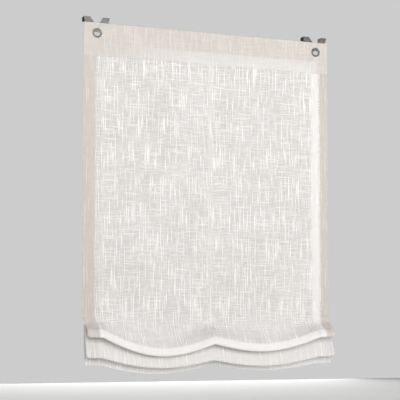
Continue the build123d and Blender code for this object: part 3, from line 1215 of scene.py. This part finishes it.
            # Painted shade over the header, where the window's frame keeps the light from behind off it:
            # more at the ends, little below the bar.
            painted_shade_share = 0.5 + 0.3 * end - 0.4 * below * (1 - end)
            # Painted light below the bar, where the header is lit from behind.
            bright = 0.35 * below * (1 - end) * smooth_step(-0.36, 0.0, x)
            return np.column_stack([painted_shade_share, bright])

        mesh = self.sheet("header_sheet", self.columns(hems=False), place, tone)
        wall = thickened(self.without_eyelet_holes(mesh), self.cloth)
        piece = add_piece("header_band", wall, self.finishes.band, "root")
        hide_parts("cloth_header")

    def without_eyelet_holes(self, mesh: bpy.types.Mesh) -> bpy.types.Mesh:
        """Cuts the cloth away inside the eyelets.

        Args:
            mesh: the header's sheet.

        Returns:
            The same sheet, with two round holes.
        """
        cut = bmesh.new()
        cut.from_mesh(mesh)
        for side in Side:
            low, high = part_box(f"eyelet_{side.word}_front")
            centre = (low + high) / 2
            flange = (high.x - low.x) / 2
            cut_off = self.hole_cut * flange
            inside = [f for f in cut.faces if flat_distance(f.calc_center_median(), centre) < cut_off]
            bmesh.ops.delete(cut, geom=inside, context="FACES")
            for vertex in cut.verts:
                away = flat_distance(vertex.co, centre)
                if vertex.is_boundary and away < self.hole_reach * flange:
                    vertex.co.x = centre.x + (vertex.co.x - centre.x) * self.hole_edge * flange / away
                    vertex.co.z = centre.z + (vertex.co.z - centre.z) * self.hole_edge * flange / away
        cut.to_mesh(mesh)
        cut.free()
        return mesh

    def build_panel(self) -> None:
        """The panel: one sheet with a hem turned behind down each side."""
        heights = np.linspace(self.panel_top, self.panel_bottom, 140)

        def place(x: float, behind: float) -> np.ndarray:
            """Rows of the panel at x."""
            return np.array([(self.panel_wave(x, z) + behind, z, z) for z in heights])

        mesh = self.sheet("panel_sheet", self.columns(), place, self.tone)
        wall = thickened(mesh, self.cloth)
        piece = add_piece("sheer_panel", wall, self.finishes.sheer, "root")
        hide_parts("cloth_panel")
        self.squash_with_lift(piece)

    def squash_with_lift(self, piece: bpy.types.Object) -> None:
        """Gives a piece its own copy of its mesh."""
        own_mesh(piece)

    def fold_rows(self, x: float, behind: float) -> np.ndarray:
        """Rows of the folds at x, as (y, z, flat length).

        Args:
            x: where along the header.
            behind: how far behind the front layer.

        Returns:
            The rows, from the panel down to the hem's lower edge.
        """
        line = smoothed(self.shape.line(x), self.per_span)
        step = np.gradient(line, axis=0)
        step /= np.linalg.norm(step, axis=1, keepdims=True)
        long = np.concatenate([[0], np.cumsum(np.linalg.norm(np.diff(line, axis=0), axis=1))])
        back = np.column_stack([-step[:, 1], step[:, 0]])
        moved = line + back * behind
        moved[:, 0] -= self.creases(x, line)
        return np.column_stack([moved, self.panel_bottom - long])

    def creases(self, x: float, line: np.ndarray) -> np.ndarray:
        """How far each row stands forward of the smooth fold.

        Args:
            x: where along the header.
            line: the folded cloth's middle line there.

        Returns:
            The distances towards the room.
        """
        at = np.arange(len(line)) / self.per_span
        front = np.clip(at / 2, 0, 1) * np.clip((FoldMark.FIRST_EDGE - at) / 1.5, 0, 1)
        edge = self.top - self.shape.depths(x)["fold_1"]
        ridge = 1.3 * MM * np.exp(-(((line[:, 1] - edge - self.rim) / (2.6 * MM)) ** 2))
        groove = 0.9 * MM * np.exp(-(((line[:, 1] - edge - self.rim - 6 * MM) / (3 * MM)) ** 2))
        fan = np.zeros(len(line))
        for column in (-self.shape.column, 0.0, self.shape.column):
            across = x - column
            down = self.gather_height - line[:, 1]
            reach = np.hypot(across, down)
            spread = np.arctan2(across, down)
            fade = np.exp(-reach / 0.07) * np.clip((reach - 0.012) / 0.03, 0, 1)
            fan += 2.2 * MM * fade * np.sin(15 * spread + 20 * column)
        return front * (ridge - groove + fan)

    def build_folds(self) -> None:
        """The two folds and the last layer, down to the bottom hem."""
        mesh = self.sheet("folds_sheet", self.columns(), self.fold_rows, self.fold_painted_shading)
        long = -float(self.fold_rows(0.0, 0.0)[-1, 2] - self.panel_bottom)
        hem = self.build_bottom_hem()
        wall = thickened(mesh, self.cloth)
        piece = add_piece(
            "gathered_folds_cloth", wall, self.finishes.folded, "gathered_folds"
        )
        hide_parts("cloth_folds")

    def build_bottom_hem(self) -> bpy.types.Object:
        """The cloth turned up behind the lower edge.

        Returns:
            The piece.
        """
        hem_rows = 8

        def place(x: float, behind: float) -> np.ndarray:
            """Rows of the turned hem, which ends in the lower edge's turn.

            Args:
                x: where along the header.
                behind: not used, as the hem has one layer.

            Returns:
                The rows, as (y, z, flat length).
            """
            rows = self.fold_rows(x, 1.6 * MM)
            front = self.fold_rows(x, 0.0)[-1]
            turn = np.array([(front[0] + 0.8 * MM, front[1] - 0.5 * MM, front[2] - 1 * MM)])
            return np.concatenate([rows[-hem_rows:], turn])

        def tone(x: float, rows: np.ndarray) -> np.ndarray:
            """The hem's layer is as pale as the layer in front of it: a little painted shade under painted
            light.
            """
            return np.tile((0.2, 0.85), (len(rows), 1))

        mesh = self.sheet("hem_sheet", self.columns(hems=False), place, tone)
        wall = thickened(mesh, self.cloth)
        return add_piece("bottom_hem", wall, self.finishes.folded, "gathered_folds")


def flat_distance(a: Vector, b: Vector) -> float:
    """The distance between two points as seen along Y."""
    return math.hypot(a.x - b.x, a.z - b.z)


def smooth_step(low: float, high: float, value: float) -> float:
    """0 below low, 1 above high and smooth between; low may be the larger."""
    t = min(max((value - low) / (high - low), 0.0), 1.0)
    return t * t * (3 - 2 * t)


# --- stitches, tapes, rings, cords ----------------------------------------------------------------------


@dataclass
class Seams:
    """Rows of stitches in the header, down the hems and through the folds."""

    finishes: Finishes
    cloth: Cloth
    tree: RepeatTree
    spacing: float = 3.4 * MM
    length: float = 2.6 * MM
    thread: float = 0.55 * MM
    header_rows: tuple[float, ...] = (9 * MM, 36.5 * MM)
    hem_inset: float = 57 * MM
    proud: float = 0.25 * MM
    first_fold_row: int = 2

    def run(self, name: str, paths: Sequence[np.ndarray], body: str, slot: str) -> bpy.types.Object:
        """Sews along some paths.

        Args:
            name: the piece's name.
            paths: the paths that the stitches follow.
            body: the body that they ride on.
            slot: not used.

        Returns:
            The piece.
        """
        host = bpy.data.meshes.new(name + "_path")
        points = np.concatenate(paths)
        ends = set(np.cumsum([len(p) for p in paths]) - 1)
        edges = [(i, i + 1) for i in range(len(points) - 1) if i not in ends]
        host.from_pydata(points.tolist(), edges, [])
        thread = self.finishes.thread
        mesh = self.tree.run(
            host, Spacing=self.spacing, Length=self.length, Thread=self.thread, Material=thread
        )
        return add_piece(name, mesh, thread, body)

    def build(self) -> None:
        """Sews the header's two rows, the side hems and the folds' side hems."""
        c = self.cloth
        front = -c.header_half_depth + 0.1 * MM
        along = np.linspace(-c.half + 2 * MM, c.half - 2 * MM, 60)
        rows = [np.array([(x, front, c.header_bottom + up) for x in along]) for up in self.header_rows]
        self.run("header_stitches", rows, "root", "linen_band")
        down = np.linspace(c.panel_top - 2 * MM, c.panel_bottom + 4 * MM, 90)
        lines = []
        folded = []
        for side in Side:
            x = side.value * (c.half - self.hem_inset)
            lines.append(np.array([(x, c.panel_wave(x, z) - self.proud, z) for z in down]))
            rows_there = c.fold_rows(x, -self.proud)[self.first_fold_row :]
            folded.append(np.array([(c.drawn_in(x, z), y, z) for y, z, _ in rows_there]))
        hem = self.run("hem_stitches", lines, "root", "linen_sheer")
        c.squash_with_lift(hem)
        self.run("fold_stitches", folded, "gathered_folds", "linen_sheer")


@dataclass
class RingColumns:
    """The three tapes with their rings, cords and knots."""

    finishes: Finishes
    cloth: Cloth
    tree: RepeatTree
    strand: float = 0.36 * MM
    lay: float = 4.5 * MM

    def build(self) -> None:
        """Makes the tapes, the rings of each body, the cords and the knots."""
        for word in COLUMNS:
            self.build_tape(word)
            self.build_cord(word)
        self.build_rings("anchor_rings", "root", ["anchor_rings"])
        for row in range(1, 5):
            self.build_rings(f"ring_row_{row}", f"rings_{row}", [f"ring_row_{row}"])
        self.build_rings("ring_rows_in_folds", "gathered_folds", ["ring_row_5", "ring_row_6"])
        self.build_knots()

    def centres(self, node: str) -> tuple[list[tuple[float, float, float]], float, float]:
        """Where a row's three rings lie.

        Args:
            node: the row's node.

        Returns:
            Their centres, the ring's outer radius and its wire's radius.
        """
        mesh = FRAME["nodes"][node].data
        points = np.array([v.co for v in mesh.vertices])
        low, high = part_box(node)
        wire = (high.z - low.z) / 2
        out = []
        outer = 0.0
        for word in COLUMNS:
            tape_low, tape_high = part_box(f"ring_tape_{word}")
            x = (tape_low.x + tape_high.x) / 2
            near = points[np.abs(points[:, 0] - x) < 0.02]
            outer = float(np.ptp(near[:, 0])) / 2
            out.append((x, float(near[:, 1].min()) + outer, (low.z + high.z) / 2))
        return out, outer, wire

    def build_rings(self, name: str, body: str, nodes: Sequence[str]) -> None:
        """Makes the rings of one body.

        Args:
            name: the piece's name.
            body: the body that they ride on.
            nodes: the CAD nodes that they stand for.
        """
        places: list[tuple[float, float, float]] = []
        outer = wire = 0.0
        for node in nodes:
            found, outer, wire = self.centres(node)
            places += found
        host = bpy.data.meshes.new(name + "_points")
        host.from_pydata(places, [], [])
        mesh = self.tree.run(host, Radius=outer - wire, Wire=wire, Material=self.finishes.ring)
        piece = add_piece(name + "_shown", mesh, self.finishes.ring, body)
        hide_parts(*nodes)

    def build_tape(self, word: str) -> None:
        """Makes one woven tape with a rib down each edge.

        Args:
            word: which column it runs down.
        """
        low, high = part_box(f"ring_tape_{word}")
        width, thick = high.x - low.x, high.y - low.y
        ribs = [0, 0.06, 0.12, 0.2, 0.4, 0.6, 0.8, 0.88, 0.94, 1]
        heights = [0.5, 1, 1, 0.65, 0.6, 0.6, 0.65, 1, 1, 0.5]
        section = [(low.x + width * s, low.y + thick * 0.05) for s in ribs]
        section += [(low.x + width * s, low.y + thick * h) for s, h in list(zip(ribs, heights))[::-1]]
        steps = np.linspace(high.z, low.z, 120)
        points = np.array([[(x, y, z) for x, y in section] for z in steps]).reshape(-1, 3)
        faces = skin(len(steps), len(section), closed=False)
        mesh = facing_out(mesh_of(f"tape_{word}", points, faces))
        name = f"woven_tape_{word}"
        piece = add_piece(name, mesh, self.finishes.tape, "root", smooth=False)
        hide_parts(f"ring_tape_{word}")
        self.cloth.squash_with_lift(piece)

    def build_cord(self, word: str) -> None:
        """Makes one gather cord of three twisted strands.

        Args:
            word: which column it runs down.
        """
        low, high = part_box(f"gather_cord_{word}")
        centre = (low + high) / 2
        radius = (high.x - low.x) / 2
        turns = (high.z - low.z) / self.lay
        t = np.linspace(0, 1, int(turns * 9))
        strands = []
        for k in range(3):
            angle = 2 * math.pi * (turns * t + k / 3)
            path = np.column_stack(
                [
                    centre.x + (radius - self.strand) * np.cos(angle),
                    centre.y + (radius - self.strand) * np.sin(angle),
                    high.z + (low.z - high.z) * t,
                ]
            )
            strands.append(tube(path, self.strand, 6))
        mesh = facing_out(mesh_of(f"cord_{word}", *joined(strands)))
        piece = add_piece(f"twisted_cord_{word}", mesh, self.finishes.cord, "root")
        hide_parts(f"gather_cord_{word}")

    def build_knots(self) -> None:
        """Makes the knots at the cords' ends and the loops on the anchor rings."""
        radius = 2.2 * MM
        wire = 0.7 * MM
        loop_radius = 1.9 * MM
        turn = np.linspace(0, 2 * math.pi, 72, endpoint=False)
        ring = loop_radius * np.column_stack([np.zeros_like(turn), np.cos(turn), np.sin(turn)])
        trefoil = np.column_stack(
            [np.sin(turn) + 2 * np.sin(2 * turn), np.cos(turn) - 2 * np.cos(2 * turn), -np.sin(3 * turn)]
        ) * ((radius - wire) / 3.0)
        anchor_low, anchor_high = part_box("cord_anchor_knots")
        end_low, end_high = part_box("cord_end_knots")
        loops = []
        ends = []
        for word in COLUMNS:
            low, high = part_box(f"gather_cord_{word}")
            x = (low.x + high.x) / 2
            y = (low.y + high.y) / 2
            ends.append(tube(trefoil + (x, y, (end_low.z + end_high.z) / 2), wire, 8, closed=True))
            loops.append(tube(trefoil + (x, y + 1 * MM, anchor_low.z + radius), wire, 8, closed=True))
            loop_y = y + 1.8 * MM if word == "centre" else anchor_high.y - loop_radius - wire
            loops.append(tube(ring + (x, loop_y, anchor_high.z - loop_radius - wire), wire, 8, closed=True))
        for name, parts, node in (
            ("anchor_knots", loops, "cord_anchor_knots"),
            ("end_knots", ends, "cord_end_knots"),
        ):
            mesh = facing_out(mesh_of(name, *joined(parts)))
            piece = add_piece(name, mesh, self.finishes.cord, "root")
            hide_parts(node)


# --- metalwork and stops --------------------------------------------------------------------------------


@dataclass
class Hardware:
    """Eyelets, hangers, bar and cord stops."""

    finishes: Finishes
    rim: float = 1.5 * MM
    hole_radius: float = 9.5 * MM
    flange_radius: float = 14.5 * MM
    barrel_wall: float = 0.7 * MM
    spring_wire: float = 0.25 * MM
    spring_pitch: float = 1.1 * MM

    def build(self) -> None:
        """Makes the eyelets and springs and gives the other hardware its finish."""
        for side in Side:
            self.build_eyelet(side)
            self.dress(f"eyelet_{side.word}_washer", self.finishes.nickel)
            self.dress(f"hanger_{side.word}", self.finishes.steel)
        self.dress("header_bar", self.finishes.bar)
        for word in COLUMNS:
            self.dress(f"stop_body_{word}", self.finishes.stop)
            self.dress(f"stop_plunger_{word}", self.finishes.stop)
            self.build_spring(word)

    def dress(self, node: str, material: bpy.types.Material) -> None:
        """Gives a CAD node its finish.

        Args:
            node: the node's name.
            material: its finish.
        """
        mesh = FRAME["nodes"][node].data
        mesh.materials.clear()
        mesh.materials.append(material)
        LOG.info("%s dressed in %s", node, material.name)

    def build_spring(self, word: str) -> None:
        """Winds a stop's spring.

        Args:
            word: which stop.
        """
        low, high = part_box(f"stop_spring_{word}")
        radius = (high.y - low.y) / 2 - self.spring_wire
        length = high.x - low.x - 2 * self.spring_wire
        turns = length / self.spring_pitch
        t = np.linspace(0, 1, int(turns * 28))
        angle = 2 * math.pi * turns * t
        y = (low.y + high.y) / 2 + radius * np.cos(angle)
        z = (low.z + high.z) / 2 + radius * np.sin(angle)
        path = np.column_stack([low.x + self.spring_wire + length * t, y, z])
        mesh = facing_out(mesh_of(f"spring_{word}", *tube(path, self.spring_wire, 8)))
        name = f"coil_spring_{word}"
        piece = add_piece(name, mesh, self.finishes.steel, "gathered_folds")
        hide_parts(f"stop_spring_{word}")
        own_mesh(piece)

    def build_eyelet(self, side: Side) -> None:
        """Makes the eyelet's front: a rolled rim and its barrel.

        Args:
            side: which end of the header.
        """
        low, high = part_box(f"eyelet_{side.word}_front")
        centre = (low + high) / 2
        outer = (high.x - low.x) / 2
        hole = outer * self.hole_radius / self.flange_radius
        seat = -(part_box("cloth_header")[1].y)
        middle = (hole + outer) / 2
        half = (outer - hole) / 2
        arc = np.linspace(0, math.pi, 15)
        roll = [(middle + half * math.cos(a), seat - self.rim * math.sin(a)) for a in arc]
        barrel = [(hole, high.y), (hole + self.barrel_wall, high.y), (hole + self.barrel_wall, seat)]
        mesh = facing_out(mesh_of("eyelet", *lathe(roll + barrel, centre)))
        name = f"rolled_eyelet_{side.word}"
        piece = add_piece(name, mesh, self.finishes.nickel, "root")
        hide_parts(f"eyelet_{side.word}_front")


# --- studio ---------------------------------------------------------------------------------------------


@dataclass
class Studio:
    """The camera, the soft lights and the pale surroundings."""

    eye: tuple[float, float, float] = (-1.2506, -3.3585, -0.9408)
    turned: float = 19.936
    raised: float = 4.282
    lens: float = 105.82
    shift: float = 0.11
    floor_drop: float = 0.12
    floor_reach: float = 2.2

    def build(self) -> None:
        """Places everything that isn't the blind."""
        low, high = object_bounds()
        centre = (low + high) / 2
        self.camera()
        self.floor(low.z - self.floor_drop)
        self.world()
        self.area("front_light", centre + Vector((-0.9, -3.0, 0.3)), centre, 3.4, 78.0)
        self.area("right_light", centre + Vector((2.4, -2.0, -0.2)), centre, 1.8, 38.0)
        self.area("window_light", centre + Vector((0.4, 2.2, 0.5)), centre, 2.4, 30.0)

    def camera(self) -> None:
        """Makes the camera."""
        data = bpy.data.cameras.new("camera")
        data.lens = self.lens
        data.shift_y = self.shift
        data.clip_start = 0.05
        camera = bpy.data.objects.new("camera", data)
        camera.location = self.eye
        camera.rotation_euler = (math.radians(90 + self.raised), 0, -math.radians(self.turned))
        bpy.context.scene.collection.objects.link(camera)
        bpy.context.scene.camera = camera

    def floor(self, height: float) -> None:
        """Lays the floor.

        Args:
            height: how high its top is.
        """
        corners = [(-1, -1), (1, -1), (1, 1), (-1, 1)]
        points = np.array([(x * self.floor_reach, y * self.floor_reach, height) for x, y in corners])
        mesh = mesh_of("floor", points, [(0, 1, 2, 3)])
        paint = PlainFinish("floor_paint", (0.86, 0.86, 0.85), (0.84, 0.84, 0.83), 0.8, 3.0).made()
        mesh.materials.append(paint)
        floor = bpy.data.objects.new("floor", mesh)
        bpy.context.scene.collection.objects.link(floor)
        floor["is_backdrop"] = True

    def world(self) -> None:
        """Gives the surroundings an even pale light."""
        world = bpy.data.worlds.new("studio")
        world.use_nodes = True
        w = Wiring(world.node_tree)
        back = world.node_tree.nodes["Background"]
        place = w.node("ShaderNodeTexCoord")
        split = w.node("ShaderNodeSeparateXYZ")
        w.put(split.inputs[0], place.outputs["Generated"])
        high = w.stretched(split.outputs[2], 0.35, 0.75)
        w.put(back.inputs["Color"], w.mixed(high, (0.60, 0.605, 0.60), (0.14, 0.14, 0.145)))
        back.inputs["Strength"].default_value = 1.0
        bpy.context.scene.world = world

    def area(self, name: str, place: Vector, target: Vector, size: float, power: float) -> None:
        """Adds a soft light.

        Args:
            name: its name.
            place: where it stands.
            target: what it points at.
            size: its side.
            power: its power in watts.
        """
        data = bpy.data.lights.new(name, "AREA")
        data.size = size
        data.energy = power
        light = bpy.data.objects.new(name, data)
        light.location = place
        light.rotation_euler = (target - place).to_track_quat("-Z", "Y").to_euler()
        bpy.context.scene.collection.objects.link(light)


def main() -> None:
    logging.basicConfig(level=logging.INFO, format="%(message)s")
    scene = bpy.context.scene
    scene.view_settings.view_transform = "Standard"
    scene.cycles.transparent_max_bounces = 48
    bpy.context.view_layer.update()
    Studio().build()
    finishes = Finishes()
    cloth = Cloth(finishes)
    cloth.build_header()
    cloth.build_panel()
    cloth.build_folds()
    Seams(finishes, cloth, make_stitch_tree()).build()
    RingColumns(finishes, cloth, make_ring_tree()).build()
    Hardware(finishes).build()


if __name__ == "__main__":
    main()
